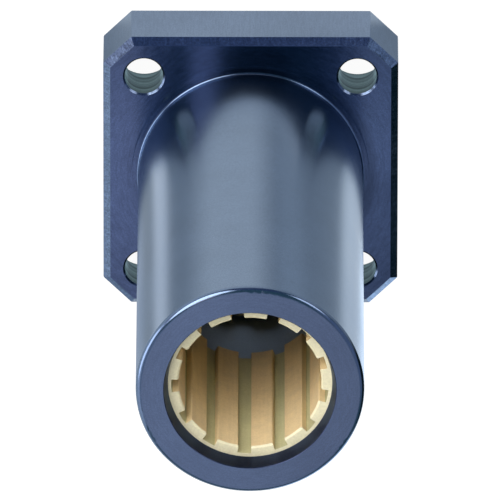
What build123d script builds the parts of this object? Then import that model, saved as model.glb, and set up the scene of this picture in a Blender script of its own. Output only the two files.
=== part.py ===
from build123d import *
import os
from math import degrees, radians, tan

# Square flange linear plain bearing, long body, for a 20 mm shaft.
# Sizes are in millimetres and angles in degrees. The bore axis is +Z, the origin is
# the centre of the flange's rear face, and the barrel points up from the flange.
# Sizes across the axis are stacked outwards from the shaft: liner, bore, barrel, flange.

# Driving dimensions of the liners, two equal moulded sleeves that are split along one groove
shaft_d = 20.0
liner_wall = 1.5
web_thickness = 0.45
liner_length = 30.0
collar_height = 0.35
collar_width = 1.3
collar_edge_break = 0.3
land_count = 13
land_lead_in = 0.25
land_edge_break = 0.12
groove_width = 1.78
split_width = 1.2
split_angle = -80.3

# Driving dimensions of the bore, the same from both ends, with its clearances to the liners
mouth_flare = 0.55
mouth_break = 0.1
lip_depth = 2.5
lip_clearance = 0.1
seat_clearance = 0.04
collar_radial_clearance = 0.15
collar_side_clearance = 0.05
relief_step = 0.25

# Driving dimensions of the barrel
overall_length = 80.0
barrel_wall = 4.0
barrel_end_round = 0.85

# Driving dimensions of the flange, with a low boss round the foot of the barrel
flange_thickness = 10.0
flange_overhang = 5.0
flange_corner_clip = 4.0
flange_corner_round = 0.4
flange_front_chamfer = 1.0
flange_rear_break = 0.3
root_boss_width = 0.9
root_boss_height = 0.75
root_foot_round = 0.3

# Driving dimensions of the four screw holes, with a bore for each screw head in the rear face
screw_hole_d = 5.5
screw_edge_distance = 5.8
screw_hole_break = 0.25
head_bore_d = 8.6
head_bore_depth = 4.4
head_bore_break = 0.05

# Derived sizes of the liner
shaft_r = shaft_d / 2
sleeve_r = shaft_r + liner_wall
collar_r = sleeve_r + collar_height
groove_floor_r = sleeve_r - web_thickness
lead_in_r = shaft_r + land_lead_in
land_pitch = 360 / land_count
groove_angle = degrees(groove_width / shaft_r)

# Derived sizes of the housing
seat_r = sleeve_r + seat_clearance
lip_r = sleeve_r
mouth_r = lip_r + mouth_flare
collar_groove_r = collar_r + collar_radial_clearance
relief_r = collar_groove_r + relief_step
liner_recess = lip_depth + lip_clearance
seat_start = liner_recess + collar_width + collar_side_clearance
seat_end = liner_recess + liner_length - collar_width - collar_side_clearance
barrel_r = collar_groove_r + barrel_wall
root_boss_r = barrel_r + root_boss_width
root_boss_top = flange_thickness + root_boss_height
flange_side = 2 * (barrel_r + flange_overhang)
screw_spacing = flange_side - 2 * screw_edge_distance


def turned(points):
    """Solid of revolution about the bore axis from a closed list of (radius, height) points."""
    return revolve(make_face(Plane.XZ * Polyline(*points, close=True)), Axis.Z)


def circles(solid):
    """Circular edges of a solid, the lowest first."""
    return solid.edges().filter_by(GeomType.CIRCLE).sort_by(Axis.Z)


def flange_plate():
    """Square plate with clipped corners, a chamfered front edge and a softened rear edge."""
    outline = Rectangle(flange_side, flange_side)
    outline = chamfer(outline.vertices(), flange_corner_clip)
    plate = extrude(outline, flange_thickness)
    front_rim = plate.faces().sort_by(Axis.Z)[-1].edges()
    plate = chamfer(front_rim, flange_front_chamfer)
    rear_rim = plate.faces().sort_by(Axis.Z)[0].edges()
    plate = chamfer(rear_rim, flange_rear_break)
    return fillet(plate.edges().filter_by(Axis.Z), flange_corner_round)


def barrel():
    """Round body from the rear face to the far end, whose outer edge is rounded."""
    body = extrude(Circle(barrel_r), overall_length)
    return fillet(circles(body)[-1], barrel_end_round)


def bore():
    """Cutter for the bore: from each end a flared mouth, a collar groove, a seat and the relief."""
    steps = [
        (mouth_r + mouth_break, 0),
        (mouth_r, mouth_break),
        (lip_r, lip_depth),
        (collar_groove_r, lip_depth),
        (collar_groove_r, seat_start),
        (seat_r, seat_start),
        (seat_r, seat_end),
        (relief_r, seat_end),
    ]
    mirrored_steps = [(radius, overall_length - height) for radius, height in reversed(steps)]
    return turned([(0, 0), *steps, *mirrored_steps, (0, overall_length)])


def screw_hole():
    """Cutter for one through hole, with the bore for its screw head in the rear face."""
    hole_r = screw_hole_d / 2
    head_r = head_bore_d / 2
    return turned([
        (0, 0),
        (head_r + head_bore_break, 0),
        (head_r, head_bore_break),
        (head_r, head_bore_depth),
        (hole_r, head_bore_depth),
        (hole_r, flange_thickness - screw_hole_break),
        (hole_r + screw_hole_break, flange_thickness),
        (0, flange_thickness),
    ])


def flange_housing():
    """One-piece housing: flange, root boss and barrel, with the stepped bore and four screw holes."""
    root_boss = extrude(Circle(root_boss_r), root_boss_top)
    body = flange_plate() + root_boss + barrel()
    foot = circles(body).filter_by_position(Axis.Z, root_boss_top, root_boss_top).sort_by(SortBy.RADIUS)[0]
    body = fillet(foot, root_foot_round)
    body -= bore()
    for place in GridLocations(screw_spacing, screw_spacing, 2, 2):
        body -= place * screw_hole()
    return body


def liner_section():
    """Cross-section of a liner: lands with broken edges, grooves between, one of them split."""
    reach = collar_r
    half_width = reach * tan(radians(groove_angle / 2))
    wedge = make_face(Polyline((0, 0), (reach, -half_width), (reach, half_width), close=True))
    groove = Circle(groove_floor_r) & wedge
    section = Circle(reach) - Circle(shaft_r)
    for turn in range(land_count):
        section -= Rot(Z=split_angle + turn * land_pitch) * groove
    land_corners = [v for v in section.vertices() if abs(v.center().length - shaft_r) < 0.001]
    section = chamfer(land_corners, land_edge_break)
    split = Pos(shaft_r, 0) * Rectangle(reach, split_width, align=(Align.MIN, Align.CENTER))
    return section - Rot(Z=split_angle) * split


def liner_envelope():
    """Turned outer form of a liner: a thin sleeve with a snap collar and a lead-in at each end."""
    half = [
        (shaft_r, land_lead_in),
        (lead_in_r, 0),
        (collar_r - collar_edge_break, 0),
        (collar_r, collar_edge_break),
        (collar_r, collar_width),
        (sleeve_r, collar_width),
    ]
    other_half = [(radius, liner_length - height) for radius, height in reversed(half)]
    return turned([*half, *other_half])


def liner():
    """Fluted split liner, standing on its own end at the origin."""
    return extrude(liner_section(), liner_length) & liner_envelope()


nodes = {
    "flange_housing": flange_housing(),
    "liner_barrel_end": Pos(0, 0, overall_length - liner_recess - liner_length) * liner(),
    "liner_flange_end": Pos(0, 0, liner_recess) * liner(),
}

os.makedirs("parts", exist_ok=True)
for name, solid in nodes.items():
    export_step(solid, f"parts/{name}.step")
    print(name, "volume", round(solid.volume, 2))
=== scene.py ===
from math import cos, radians, sin
from types import SimpleNamespace

import bpy
from mathutils import Matrix, Vector


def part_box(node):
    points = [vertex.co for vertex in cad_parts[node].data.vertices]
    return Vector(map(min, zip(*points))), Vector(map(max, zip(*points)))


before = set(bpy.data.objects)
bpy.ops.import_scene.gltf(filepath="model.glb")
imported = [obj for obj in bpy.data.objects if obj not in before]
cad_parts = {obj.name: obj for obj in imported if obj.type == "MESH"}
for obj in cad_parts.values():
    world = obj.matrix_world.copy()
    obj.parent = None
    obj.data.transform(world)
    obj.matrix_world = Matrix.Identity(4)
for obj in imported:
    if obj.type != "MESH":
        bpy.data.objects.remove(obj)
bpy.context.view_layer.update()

# Square flange linear bearing: finishes, studio and camera. Lengths are in metres.
# The studio is laid out as the photograph sees it: right, up and out along the bore axis.
MM = 0.001

# Camera, fitted to the outlines in the photograph
VIEW_TILT = radians(25.988)
VIEW_YAW = radians(0.036)
VIEW_ROLL = radians(0.139)
VIEW_DISTANCE = 3.15
VIEW_TARGET = (-0.051 * MM, -2.474 * MM, 30 * MM)
SENSOR_WIDTH = 36.0
LENS = 1599.0
CLIP_NEAR = 0.1
CLIP_FAR = 20.0

# Reaches of the housing and of the liner at its end, from the frame
housing_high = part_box("flange_housing")[1]
liner_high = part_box("liner_barrel_end")[1]
FLANGE_HALF = housing_high.x
OVERALL_LENGTH = housing_high.z
LINER_RADIUS = liner_high.x
LINER_END = liner_high.z

# Other places on the solids
FLANGE_CLIP = 4.0 * MM
FLANGE_FACE = 10.0 * MM
HOLE_CENTRE = 15.2 * MM
HEAD_BORE_DEPTH = 4.4 * MM

# Colours, linear
WHITE = (1.0, 1.0, 1.0)
ANODISED = (0.150, 0.212, 0.320)
# Painted light deep in the bore and painted shade in its mouth
MOUTH_PAINTED_SHADE = (0.040, 0.055, 0.105)
BORE_METAL_AND_PAINTED_LIGHT = (0.330, 0.380, 0.440)
HOLE_METAL = (0.215, 0.295, 0.276)
GRAZING_TINT = (0.85, 0.94, 1.0)
CREAM = (0.60, 0.575, 0.400)
TAN = (0.705, 0.560, 0.325)
# Olive, painted darker than the lands as shade in the grooves
OLIVE_PAINTED_SHADE = (0.48, 0.475, 0.278)

# A Mix node's sockets share their names, so those of vectors and colours go by position
MIX_VECTORS = slice(4, 6)
MIX_VECTOR_RESULT = 1
MIX_COLOURS = slice(6, 8)
MIX_COLOUR_RESULT = 2

# Most of a noise's values lie between these two
NOISE_LOW = 0.3
NOISE_HIGH = 0.7


def seen(right, up, out):
    """A direction or place given as the photograph sees it, turned into the row frame."""
    return Vector((-right, -up, out))


class Graph:
    """Short calls that add nodes to one node tree. A value is a node's output, a number or a tuple."""

    def __init__(self, tree):
        self.tree = tree
        tree.nodes.clear()

    def fill(self, sockets, values):
        """Link or set each socket in turn."""
        for socket, value in zip(sockets, values):
            if isinstance(value, bpy.types.NodeSocket):
                self.tree.links.new(value, socket)
            else:
                socket.default_value = value

    def add(self, kind, inputs=None, **settings):
        """New node with its settings, and its inputs by name."""
        node = self.tree.nodes.new(kind)
        for name, value in settings.items():
            setattr(node, name, value)
        if inputs:
            self.fill([node.inputs[name] for name in inputs], inputs.values())
        return node

    def math(self, operation, *values):
        node = self.add("ShaderNodeMath", operation=operation)
        self.fill(node.inputs, values)
        return node.outputs[0]

    def product(self, first, *others):
        """Numbers multiplied."""
        for other in others:
            first = self.math("MULTIPLY", first, other)
        return first

    def vector(self, operation, *values):
        """Vector maths, which gives a number for a length or a dot product."""
        node = self.add("ShaderNodeVectorMath", operation=operation)
        self.fill(node.inputs, values)
        return node.outputs["Value" if operation in ("LENGTH", "DOT_PRODUCT") else "Vector"]

    def ramp(self, value, start, end, low=0.0, high=1.0):
        """Smooth step of value: low before start, high after end."""
        node = self.add("ShaderNodeMapRange", interpolation_type="SMOOTHSTEP")
        self.fill(node.inputs, (value, start, end, low, high))
        return node.outputs[0]

    def vary(self, noise, low, high):
        """Number that goes from low to high with a noise."""
        return self.ramp(noise, NOISE_LOW, NOISE_HIGH, low, high)

    def blend(self, share, a, b):
        """Mix of two numbers."""
        return self.add("ShaderNodeMix", {"Factor": share, "A": a, "B": b}).outputs[0]

    def mix_vectors(self, share, a, b):
        """Mix of two vectors."""
        node = self.add("ShaderNodeMix", {"Factor": share}, data_type="VECTOR")
        self.fill(node.inputs[MIX_VECTORS], (a, b))
        return node.outputs[MIX_VECTOR_RESULT]

    def mix(self, share, a, b, blend="MIX"):
        """Mix of two colours."""
        node = self.add("ShaderNodeMix", {"Factor": share}, data_type="RGBA", blend_type=blend)
        opaque = [(*colour, 1.0) if isinstance(colour, tuple) else colour for colour in (a, b)]
        self.fill(node.inputs[MIX_COLOURS], opaque)
        return node.outputs[MIX_COLOUR_RESULT]

    def shade(self, colour, factor):
        """Colour times a number."""
        return self.mix(1.0, colour, self.combine(factor, factor, factor), blend="MULTIPLY")

    def noise(self, vector, scale, detail, roughness):
        node = self.add(
            "ShaderNodeTexNoise",
            {"Vector": vector, "Scale": scale, "Detail": detail, "Roughness": roughness},
        )
        return node.outputs["Fac"]

    def combine(self, x, y, z):
        return self.add("ShaderNodeCombineXYZ", {"X": x, "Y": y, "Z": z}).outputs[0]

    def split(self, vector):
        return self.add("ShaderNodeSeparateXYZ", {"Vector": vector}).outputs

    def switch(self, share, first, second):
        """Mix of two shaders."""
        node = self.add("ShaderNodeMixShader")
        self.fill(node.inputs, (share, first, second))
        return node.outputs[0]


def new_material(name):
    material = bpy.data.materials.new(name)
    material.use_nodes = True
    return material, Graph(material.node_tree)


# Masks of the housing's surfaces, each nothing at its first number and full at its second.
# These go by the part of the normal that lies along the bore
ACROSS_BORE = (0.35, 0.45)
FLAT = (0.90, 0.95)
NOT_FLAT = (0.95, 0.85)
CHAMFER_STARTS = (0.60, 0.65)
CHAMFER_ENDS = (0.80, 0.75)

# Masks by the distance from the nearest hole's axis, and by that from the bore's
NEAR_HOLE = (4.7 * MM, 4.5 * MM)
IN_BORE = (LINER_RADIUS + 0.8 * MM, LINER_RADIUS + 0.6 * MM)
OUTSIDE_BORE = (15.0 * MM, 15.5 * MM)
BY_BOSS = (18.8 * MM, 17.0 * MM)
AT_FLANGE_RIM = (FLANGE_HALF - 1.5 * MM, FLANGE_HALF - 1.0 * MM)

# Masks by the height
IN_HEAD_BORE = (HEAD_BORE_DEPTH + 0.1 * MM, HEAD_BORE_DEPTH)
IN_FLANGE = (FLANGE_FACE + 0.1 * MM, FLANGE_FACE - 0.1 * MM)
UP_TO_BOSS = (FLANGE_FACE + 2.0 * MM, FLANGE_FACE + 1.0 * MM)
ABOVE_FLANGE = (FLANGE_FACE, FLANGE_FACE + 0.2 * MM)
AT_FOOT = (FLANGE_FACE + 10.5 * MM, FLANGE_FACE + 5.5 * MM)
IN_MOUTH = (LINER_END, LINER_END + 0.2 * MM)
AT_END = (OVERALL_LENGTH - 0.6 * MM, OVERALL_LENGTH - 0.4 * MM)

# Noises of the aluminium: scale, detail and roughness. The drift breaks the lines along their length
LINE_NOISE = (3800.0, 3.0, 0.7)
LINE_DRIFT = (0.15, 0.15, 0.10)
HOOP_NOISE = (1300.0, 3.0, 0.7)
CLOUD_NOISE = (90.0, 4.0, 0.6)
GRAIN_NOISE = (4200.0, 2.0, 0.5)
MOTTLE_NOISE = (3600.0, 3.0, 0.7)

# Dye and painted shade, as a share of the colour: painted shade darkens the face to the right, by its
# edges, low on the right and beside the boss, the barrel's end to the right, and the barrel's foot. Here
# and below, four numbers are a start, an end and the values there
SIDE_DYE = (0.98, 0.97, 0.98)
FACE_DYE_AND_PAINTED_SHADE_LEFT = (0.80, 0.81, 0.95)
FACE_DYE_AND_PAINTED_SHADE_RIGHT = (0.56, 0.63, 0.76)
FACE_PAINTED_SHADE_BY_EDGES = (5.0 * MM, 20.0 * MM, 1.00, 0.80)
LOW_RIGHT_ACROSS = (-6.0 * MM, -14.0 * MM)
LOW_RIGHT_DOWN = (-3.0 * MM, 4.0 * MM)
LOW_RIGHT_PAINTED_SHADE = 0.80
BESIDE_BOSS = (4.0 * MM, 12.0 * MM)
BOSS_PAINTED_SHADE_LEFT = 0.92
BOSS_PAINTED_SHADE_RIGHT = 0.68
END_PAINTED_SHADE = (12.0 * MM, -16.0 * MM, 1.03, 0.84)
# Painted shade at the barrel's foot, standing in for the dark flange face reflected there
MIDDLE_OF_FOOT = (9.0 * MM, 2.0 * MM)
FOOT_PAINTED_SHADE = 0.60

# Light and dark in the holes: the hoops, a painted highlight on the walls to either side, and the bores
# for the screw heads
HOOP_TONE = (0.38, 0.62, 0.50, 1.40)
HOLE_SIDE_PAINTED_HIGHLIGHT = (0.80, 0.94, 1.0, 2.2)
HEAD_BORE_TONE = 1.3

# How strongly the lines show, in colour and in relief: on walls, flange sides, turned faces, barrel end
LINE_TONES = (0.02, 0.07, 0.14, 0.06)
LINE_HEIGHTS = (0.05, 0.60, 1.60, 0.70)

# The rest of the light and dark, and of the relief
CLOUD_TONE = (0.95, 1.05)
GRAIN_TONE = 0.06
FACE_GRAIN_TONE = 0.11
MOTTLE_TONE = (0.35, 0.65, 0.78, 1.22)
STROKE_TONE = 0.12
# Painted shade on the chamfers round the holes
HOLE_CHAMFER_PAINTED_SHADE = 0.62
GRAIN_HEIGHT = 0.4
MOTTLE_HEIGHT = 0.6
CUT_STRENGTH = 0.35
CUT_DISTANCE = 0.002 * MM

# Gloss of the aluminium
WALL_ROUGHNESS = 0.20
FACE_ROUGHNESS = 0.15
ROUGH_LINES = (0.25, 0.75, -1.0, 1.0)
WALL_LINE_ROUGHNESS = 0.01
FACE_LINE_ROUGHNESS = 0.03
CLOUD_ROUGHNESS = (-0.015, 0.015)
HOLE_ROUGHNESS = 0.12
BORE_ROUGHNESS = 0.25
ANISOTROPY = 0.5


def housing_surfaces(g):
    """Place and normal of a point on the housing, and masks of the surfaces that it may lie on."""
    on = SimpleNamespace()
    on.place = g.add("ShaderNodeTexCoord").outputs["Object"]
    on.x, on.y, on.z = g.split(on.place)
    on.nx, on.ny, on.nz = g.split(g.add("ShaderNodeNewGeometry").outputs["True Normal"])
    on.off_x = g.math("ABSOLUTE", on.x)
    on.off_y = g.math("ABSOLUTE", on.y)
    on.radius = g.vector("LENGTH", g.combine(on.x, on.y, 0.0))
    hole_x = g.math("SUBTRACT", on.off_x, HOLE_CENTRE)
    hole_y = g.math("SUBTRACT", on.off_y, HOLE_CENTRE)
    on.near_hole = g.ramp(g.vector("LENGTH", g.combine(hole_x, hole_y, 0.0)), *NEAR_HOLE)

    # Faces across the bore, walls of the holes and the bore, and the flange's outer sides
    on.face = g.ramp(g.math("ABSOLUTE", on.nz), *ACROSS_BORE)
    on.in_hole = g.product(on.near_hole, g.math("SUBTRACT", 1.0, on.face))
    on.in_bore = g.product(g.ramp(on.radius, *IN_BORE), g.ramp(on.nz, *NOT_FLAT))
    in_flange = g.ramp(on.z, *IN_FLANGE)
    on.side = g.product(in_flange, g.ramp(on.radius, *AT_FLANGE_RIM))

    # The flange's face, the barrel's end, and the chamfer round the flange, which isn't turned
    on.flange_face = g.product(g.ramp(on.nz, *FLAT), g.ramp(on.z, *UP_TO_BOSS))
    on.end_face = g.product(on.face, g.ramp(on.z, *AT_END))
    on.chamfer = g.product(g.ramp(on.nz, *CHAMFER_STARTS), g.ramp(on.nz, *CHAMFER_ENDS), in_flange)
    on.turned_face = g.math("SUBTRACT", on.face, on.chamfer)
    return on


def cutting_lines(g, on):
    """Noise drawn out by the cut: rings on faces, hoops on walls, strokes across the flange's sides."""
    along_side = g.math("SUBTRACT", g.product(on.y, on.nx), g.product(on.x, on.ny))
    line_at = g.blend(on.side, g.blend(on.face, on.z, on.radius), along_side)
    by_x, by_y, by_z = LINE_DRIFT
    drift = g.math("MULTIPLY_ADD", on.y, by_y, g.product(on.z, by_z))
    return g.noise(g.combine(line_at, g.product(on.x, by_x), drift), *LINE_NOISE)


def by_surface(g, on, wall, side, face, end):
    """Number that differs between walls, flange sides, turned faces and the barrel's end."""
    return g.blend(on.turned_face, g.blend(on.side, wall, side), g.blend(on.end_face, face, end))


def dye_and_painted_shade(g, on):
    """Depth of the dye and painted shade: the face painted darker to the right, by its upper and lower
    edges, low on the right and beside the boss, and the barrel's end darker to the right.
    """
    to_right = g.ramp(on.x, FLANGE_HALF, -FLANGE_HALF)
    on_face = g.mix(to_right, FACE_DYE_AND_PAINTED_SHADE_LEFT, FACE_DYE_AND_PAINTED_SHADE_RIGHT)
    on_face = g.shade(on_face, g.ramp(on.off_y, *FACE_PAINTED_SHADE_BY_EDGES))
    low_right = g.product(g.ramp(on.x, *LOW_RIGHT_ACROSS), g.ramp(on.y, *LOW_RIGHT_DOWN))
    by_boss = g.product(g.ramp(on.radius, *BY_BOSS), g.ramp(on.off_x, *BESIDE_BOSS))
    boss_shade = g.blend(by_boss, 1.0, g.blend(to_right, BOSS_PAINTED_SHADE_LEFT, BOSS_PAINTED_SHADE_RIGHT))
    # Painted shade low on the right of the face and beside the boss
    on_face = g.shade(on_face, g.product(g.blend(low_right, 1.0, LOW_RIGHT_PAINTED_SHADE), boss_shade))
    share = g.mix(on.flange_face, g.mix(on.side, WHITE, SIDE_DYE), on_face)
    # Painted shade on the barrel's end, darker to the right
    return g.shade(share, g.blend(on.end_face, 1.0, g.ramp(on.x, *END_PAINTED_SHADE)))


def metal_colour(g, on):
    """Dyed blue-grey outside, painted pale deep in the bore and painted dark in its mouth, greener in the
    holes with a painted highlight on the walls to either side.
    """
    outside = g.mix(1.0, ANODISED, dye_and_painted_shade(g, on), blend="MULTIPLY")
    # Painted light deep in the bore and painted shade in its mouth
    bore = g.mix(g.ramp(on.z, *IN_MOUTH), BORE_METAL_AND_PAINTED_LIGHT, MOUTH_PAINTED_SHADE)
    hoops = g.noise(g.combine(on.z, 0.0, 0.0), *HOOP_NOISE)
    # Painted highlight on the hole walls that face to either side
    side_highlight = g.ramp(g.math("ABSOLUTE", on.nx), *HOLE_SIDE_PAINTED_HIGHLIGHT)
    hole_tone = g.blend(g.ramp(on.z, *IN_HEAD_BORE), side_highlight, HEAD_BORE_TONE)
    hole = g.shade(HOLE_METAL, g.product(g.ramp(hoops, *HOOP_TONE), hole_tone))
    return g.mix(on.in_hole, g.mix(on.in_bore, outside, bore), hole)


def cut_tone(g, on, lines, cloud, grain, mottle):
    """Light and dark of the cut metal: clouds, lines, grain, strokes on the chamfer with painted shade by
    the holes, and painted shade at the barrel's foot.
    """
    line_tone = g.vary(lines, -1.0, 1.0)
    streaks = g.math("MULTIPLY_ADD", line_tone, by_surface(g, on, *LINE_TONES), 1.0)
    grain_depth = g.blend(on.flange_face, GRAIN_TONE, FACE_GRAIN_TONE)
    grains = g.math("MULTIPLY_ADD", g.vary(grain, -1.0, 1.0), grain_depth, 1.0)
    strokes = g.math("MULTIPLY_ADD", line_tone, STROKE_TONE, g.ramp(mottle, *MOTTLE_TONE))
    # Painted shade on the chamfers round the holes
    strokes = g.product(strokes, g.blend(on.near_hole, 1.0, HOLE_CHAMFER_PAINTED_SHADE))
    on_chamfer = g.blend(on.chamfer, 1.0, strokes)
    on_barrel = g.product(g.ramp(on.z, *ABOVE_FLANGE), g.ramp(on.radius, *OUTSIDE_BORE))
    # Painted shade at the barrel's foot
    foot = g.product(g.ramp(on.z, *AT_FOOT), g.ramp(on.off_x, *MIDDLE_OF_FOOT), on_barrel)
    painted_foot_shade = g.blend(foot, 1.0, FOOT_PAINTED_SHADE)
    return g.product(g.vary(cloud, *CLOUD_TONE), g.product(streaks, grains), on_chamfer, painted_foot_shade)


def cut_roughness(g, on, lines, cloud):
    """Satin, glossier on faces than on walls, uneven with the lines, rougher in the holes and bore."""
    roughness = g.blend(on.face, WALL_ROUGHNESS, FACE_ROUGHNESS)
    line_depth = g.blend(on.face, WALL_LINE_ROUGHNESS, FACE_LINE_ROUGHNESS)
    roughness = g.math("MULTIPLY_ADD", g.ramp(lines, *ROUGH_LINES), line_depth, roughness)
    roughness = g.math("ADD", roughness, g.vary(cloud, *CLOUD_ROUGHNESS))
    roughness = g.math("MULTIPLY_ADD", on.in_hole, HOLE_ROUGHNESS, roughness)
    return g.math("MULTIPLY_ADD", on.in_bore, BORE_ROUGHNESS, roughness)


def cut_relief(g, on, lines, grain, mottle):
    """Shallow relief of the lines and the grain, with mottle on the chamfer."""
    height = g.product(lines, by_surface(g, on, *LINE_HEIGHTS))
    height = g.math("MULTIPLY_ADD", grain, GRAIN_HEIGHT, height)
    height = g.math("MULTIPLY_ADD", mottle, g.product(on.chamfer, MOTTLE_HEIGHT), height)
    return g.add(
        "ShaderNodeBump",
        {"Strength": CUT_STRENGTH, "Distance": CUT_DISTANCE, "Height": height},
    ).outputs[0]


def anodised_aluminium():
    """Blue-grey anodised aluminium: turned lines about the axis, milled lines on the flange's sides."""
    material, g = new_material("anodised_aluminium")
    on = housing_surfaces(g)
    lines = cutting_lines(g, on)
    cloud = g.noise(on.place, *CLOUD_NOISE)
    grain = g.noise(on.place, *GRAIN_NOISE)
    mottle = g.noise(on.place, *MOTTLE_NOISE)

    # The cut scatters light across its lines: outwards on faces, along the axis on walls
    outwards = g.vector("NORMALIZE", g.combine(on.x, on.y, 0.0))
    shader = g.add("ShaderNodeBsdfPrincipled", {
        "Base Color": g.shade(metal_colour(g, on), cut_tone(g, on, lines, cloud, grain, mottle)),
        "Metallic": 1.0,
        "Roughness": cut_roughness(g, on, lines, cloud),
        "Anisotropic": ANISOTROPY,
        "Specular Tint": (*GRAZING_TINT, 1.0),
        "Tangent": g.mix_vectors(on.face, (0.0, 0.0, 1.0), outwards),
        "Normal": cut_relief(g, on, lines, grain, mottle),
    })
    g.add("ShaderNodeOutputMaterial", {"Surface": shader.outputs[0]})
    return material


# Masks of the liner's surfaces: the grooves by the radius, the ends by the normal's part along the bore
IN_GROOVE = (10.90 * MM, 11.00 * MM)
ON_END = (0.55, 0.70)

# Noises of the polymer: scale, detail and roughness. The drawn marks are stretched along the bore
WAX_NOISE = (420.0, 4.0, 0.6)
SPECK_NOISE = (3600.0, 2.0, 0.5)
DRAW_NOISE = (2600.0, 2.0, 0.5)
DRAW_STRETCH = 0.04

# What the noises do to the polymer's colour, gloss and relief
WAX_TONE = (0.94, 1.05)
SPECK_TONE = (0.95, 1.04)
DRAW_TONE = (0.97, 1.03)
WAX_ROUGHNESS = (0.46, 0.58)
SPECK_HEIGHT = 0.5
DRAW_HEIGHT = 0.5
MOULDED_STRENGTH = 0.3
MOULDED_DISTANCE = 0.01 * MM


def moulded_polymer():
    """Cream sliding polymer: pale on its ends, tan on its lands, and olive in its grooves, painted darker
    there as shade.
    """
    material, g = new_material("moulded_polymer")
    place = g.add("ShaderNodeTexCoord").outputs["Object"]
    x, y, z = g.split(place)
    nz = g.split(g.add("ShaderNodeNewGeometry").outputs["True Normal"])[2]
    radius = g.vector("LENGTH", g.combine(x, y, 0.0))
    # The grooves are painted darker than the lands, as shade
    inner = g.mix(g.ramp(radius, *IN_GROOVE), TAN, OLIVE_PAINTED_SHADE)
    colour = g.mix(g.ramp(g.math("ABSOLUTE", nz), *ON_END), inner, CREAM)

    # Waxy clouds, fine specks, and faint marks drawn out along the bore
    wax = g.noise(place, *WAX_NOISE)
    speck = g.noise(place, *SPECK_NOISE)
    draw = g.noise(g.combine(x, y, g.product(z, DRAW_STRETCH)), *DRAW_NOISE)
    tone = g.product(g.vary(wax, *WAX_TONE), g.vary(speck, *SPECK_TONE), g.vary(draw, *DRAW_TONE))
    height = g.math("ADD", g.product(speck, SPECK_HEIGHT), g.product(draw, DRAW_HEIGHT))
    bump = g.add(
        "ShaderNodeBump",
        {"Strength": MOULDED_STRENGTH, "Distance": MOULDED_DISTANCE, "Height": height},
    )
    shader = g.add("ShaderNodeBsdfPrincipled", {
        "Base Color": g.shade(colour, tone),
        "Roughness": g.vary(wax, *WAX_ROUGHNESS),
        "Normal": bump.outputs[0],
    })
    g.add("ShaderNodeOutputMaterial", {"Surface": shader.outputs[0]})
    return material


def dress(node, material):
    """Give a CAD node its finish."""
    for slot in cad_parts[node].material_slots:
        slot.material = material


# Light on the floor round the flange, as metal shows it: angle from straight up in the view,
# positive to the right, full out to, faded out by, all in degrees, and the colour
FLOOR_LIGHTS = [
    (-20, 17, 56, (1.12, 1.07, 1.02)),
    (42, 4, 22, (0.64, 0.66, 0.69)),
    (-98, 4, 13, (1.43, 1.35, 1.32)),
    (-142, 12, 20, (0.54, 0.60, 0.70)),
    (111, 6, 16, (1.25, 1.23, 1.22)),
    (130, 10, 18, (1.00, 1.02, 1.06)),
    (154, 17, 24, (1.45, 1.60, 1.80)),
]
FLOOR_BASE = (0.49, 0.51, 0.54)
FLOOR_CENTRE_UP = 9 * MM

# Parts of the floor with a light of their own, each with the mask that bounds it
FAR_RIGHT_LIGHT = (0.01, 0.03, 0.03)
FAR_RIGHT_EDGE = (-55 * MM, -85 * MM)
FAR_RIGHT_AIM = (0.90, -0.44, 0.0)
FAR_RIGHT_SPREAD = (radians(34), radians(18))
FAR_LEFT_LIGHT = (0.92, 0.95, 0.97)
FAR_LEFT_EDGE = (70 * MM, 120 * MM)
TOP_SIDE_LIGHT = (1.02, 0.98, 0.95)
TOP_SIDE_EDGE = (-26.8 * MM, -25.2 * MM)
TOP_SIDE_ENDS = (20 * MM, 18 * MM)
# Painted shadow under the flange, as the metal sees it
UNDER_FLANGE_PAINTED_SHADOW = (0.37, 0.41, 0.48)
UNDER_FLANGE_EDGE = 1.0 * MM

# The floor itself
FLOOR_RADIUS = 3.0
FLOOR_CORNERS = 96
FLOOR_GREY = (0.80, 0.80, 0.80, 1.0)
SHADOW_GREY = (0.12, 0.12, 0.12, 1.0)
FLOOR_GLOW = 0.955


def angle_from(g, direction, aim):
    """Angle between a direction and a fixed aim."""
    return g.math("ARCCOSINE", g.vector("DOT_PRODUCT", direction, tuple(aim)))


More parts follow.
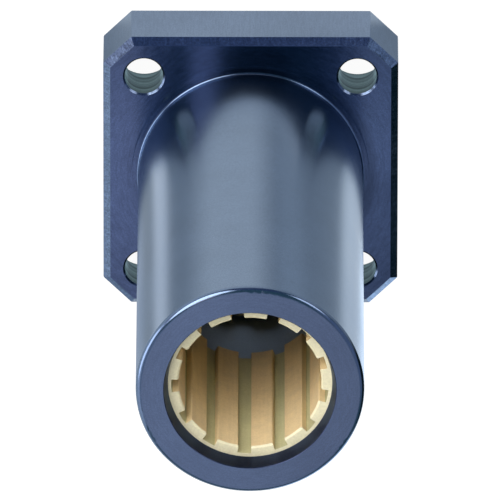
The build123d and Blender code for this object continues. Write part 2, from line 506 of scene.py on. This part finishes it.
def floor_light(g):
    """Light of the floor by its place, as the metal reflects it."""
    x, y = g.split(g.add("ShaderNodeTexCoord").outputs["Object"])[:2]
    centre = seen(0.0, FLOOR_CENTRE_UP, 0.0)
    direction = g.vector("NORMALIZE", g.vector("SUBTRACT", g.combine(x, y, 0.0), tuple(centre)))
    total = FLOOR_BASE
    for angle, full, faded, colour in FLOOR_LIGHTS:
        apart = angle_from(g, direction, seen(sin(radians(angle)), cos(radians(angle)), 0.0))
        total = g.mix(g.ramp(apart, radians(faded), radians(full)), total, colour)

    # Far to the right and to the left, and along the flange's upper side
    off_x = g.math("ABSOLUTE", x)
    off_y = g.math("ABSOLUTE", y)
    in_spread = g.ramp(angle_from(g, direction, seen(*FAR_RIGHT_AIM)), *FAR_RIGHT_SPREAD)
    far_right = g.product(g.ramp(x, *FAR_RIGHT_EDGE), in_spread)
    total = g.mix(far_right, total, FAR_RIGHT_LIGHT)
    total = g.mix(g.ramp(x, *FAR_LEFT_EDGE), total, FAR_LEFT_LIGHT)
    by_top = g.product(g.ramp(y, *TOP_SIDE_EDGE), g.ramp(off_x, *TOP_SIDE_ENDS))
    total = g.mix(by_top, total, TOP_SIDE_LIGHT)

    # Painted shadow under the square flange, less its clipped corners
    clipped = 2 * FLANGE_HALF - FLANGE_CLIP
    square = g.ramp(g.math("MAXIMUM", off_x, off_y), FLANGE_HALF, FLANGE_HALF - UNDER_FLANGE_EDGE)
    corners = g.ramp(g.math("ADD", off_x, off_y), clipped, clipped - UNDER_FLANGE_EDGE)
    return g.mix(g.product(square, corners), total, UNDER_FLANGE_PAINTED_SHADOW)


def pale_floor():
    """Plain pale floor under the flange: white in the view, softly lit in the metal, matt to the rest."""
    bpy.ops.mesh.primitive_circle_add(vertices=FLOOR_CORNERS, radius=FLOOR_RADIUS, fill_type="NGON")
    floor = bpy.context.object
    floor.name = "floor"
    material, g = new_material("pale_floor")
    rays = g.add("ShaderNodeLightPath").outputs
    matt = g.add("ShaderNodeBsdfDiffuse", {"Color": FLOOR_GREY})
    faint = g.add("ShaderNodeBsdfDiffuse", {"Color": SHADOW_GREY})
    glow = g.add("ShaderNodeEmission", {"Color": (*WHITE, 1.0), "Strength": FLOOR_GLOW})
    shown = g.add("ShaderNodeAddShader")
    g.fill(shown.inputs, (faint.outputs[0], glow.outputs[0]))
    reflected = g.add("ShaderNodeEmission", {"Color": floor_light(g), "Strength": 1.0})
    clear_rays = g.math("MAXIMUM", rays["Is Camera Ray"], rays["Is Transmission Ray"])
    surface = g.switch(rays["Is Glossy Ray"], matt.outputs[0], reflected.outputs[0])
    surface = g.switch(clear_rays, surface, shown.outputs[0])
    g.add("ShaderNodeOutputMaterial", {"Surface": surface})
    floor.data.materials.append(material)


# Lights of the studio: direction seen, full out to and faded out by in degrees, and the colour.
# Later ones cover earlier ones
STUDIO_LIGHTS = [
    ((0.00, -0.50, 0.87), 20, 42, (0.62, 0.61, 0.72)),
    ((0.85, 0.00, 0.50), 22, 38, (0.32, 0.38, 0.54)),
    ((-0.55, -0.32, 0.77), 12, 22, (0.40, 0.46, 0.58)),
    ((-0.90, 0.35, 0.25), 18, 34, (0.50, 0.48, 0.62)),
    ((-0.95, -0.25, 0.10), 26, 42, (0.82, 0.87, 0.98)),
    ((-0.75, -0.50, 0.45), 8, 22, (1.15, 1.15, 1.25)),
    ((0.95, -0.35, -0.05), 12, 24, (0.00, 0.02, 0.03)),
    ((0.00, 0.93, 0.36), 10, 32, (0.12, 0.16, 0.29)),
    ((0.00, 1.00, 0.00), 4, 17, (0.46, 0.47, 0.56)),
    ((-0.97, -0.02, 0.22), 13, 23, (3.40, 3.30, 3.50)),
    ((-0.55, 0.62, 0.56), 17, 26, (4.80, 4.50, 4.50)),
    ((-0.33, 0.29, 0.90), 2, 9, (2.15, 1.60, 1.60)),
    ((0.66, 0.64, 0.38), 9, 16, (3.00, 2.80, 2.90)),
]
STUDIO_BASE = (0.105, 0.20, 0.24)

# Softer studio for matt surfaces, and its share in what lights them
SOFT_LIGHTS = [
    ((0.00, 0.00, 1.00), 16, 40, (0.12, 0.08, 0.05)),
    ((-0.30, -0.48, 0.82), 16, 36, (5.00, 4.85, 4.35)),
    ((-0.25, 0.69, 0.65), 8, 25, (15.0, 14.4, 13.4)),
]
SOFT_BASE = (0.40, 0.37, 0.32)
SOFT_SHARE = 0.65


def lights(g, direction, base, lobes):
    """Base colour with round soft-edged lights laid over it."""
    total = base
    for aim, full, faded, colour in lobes:
        facing = g.vector("DOT_PRODUCT", direction, tuple(seen(*aim).normalized()))
        total = g.mix(g.ramp(facing, cos(radians(faded)), cos(radians(full))), total, colour)
    return total


def studio_walls():
    """Soft studio round the object: white where the camera sees it, lights with dim wall between."""
    world = bpy.data.worlds.new("studio")
    bpy.context.scene.world = world
    world.use_nodes = True
    g = Graph(world.node_tree)
    direction = g.vector("NORMALIZE", g.add("ShaderNodeTexCoord").outputs["Generated"])
    total = lights(g, direction, STUDIO_BASE, STUDIO_LIGHTS)

    # The softer studio is dim along the bore, with two lights that reach into it from either side
    soft = lights(g, direction, SOFT_BASE, SOFT_LIGHTS)
    rays = g.add("ShaderNodeLightPath").outputs
    filled = g.mix(rays["Is Diffuse Ray"], total, g.mix(SOFT_SHARE, total, soft))
    studio = g.add("ShaderNodeBackground", {"Color": filled, "Strength": 1.0})
    white = g.add("ShaderNodeBackground", {"Color": (*WHITE, 1.0), "Strength": 1.0})
    surface = g.switch(rays["Is Camera Ray"], studio.outputs[0], white.outputs[0])
    g.add("ShaderNodeOutputWorld", {"Surface": surface})


def photo_camera():
    """Camera at the photograph's angle, with the flange upmost in the picture."""
    away = seen(sin(VIEW_YAW) * sin(VIEW_TILT), cos(VIEW_YAW) * sin(VIEW_TILT), cos(VIEW_TILT))
    level = away.cross(Vector((0, 0, 1))).normalized()
    upright = away.cross(level)
    right = cos(VIEW_ROLL) * level + sin(VIEW_ROLL) * upright
    up = cos(VIEW_ROLL) * upright - sin(VIEW_ROLL) * level
    data = bpy.data.cameras.new("photo_camera")
    data.sensor_width = SENSOR_WIDTH
    data.lens = LENS
    data.clip_start = CLIP_NEAR
    data.clip_end = CLIP_FAR
    camera = bpy.data.objects.new("photo_camera", data)
    place = seen(*VIEW_TARGET) + VIEW_DISTANCE * away
    axes = Matrix((right, up, away)).transposed()
    camera.matrix_world = Matrix.Translation(place) @ axes.to_4x4()
    bpy.context.scene.collection.objects.link(camera)
    bpy.context.scene.camera = camera


dress("flange_housing", anodised_aluminium())
polymer = moulded_polymer()
dress("liner_barrel_end", polymer)
dress("liner_flange_end", polymer)
pale_floor()
studio_walls()
photo_camera()

scene = bpy.context.scene
scene.view_settings.view_transform = "Standard"
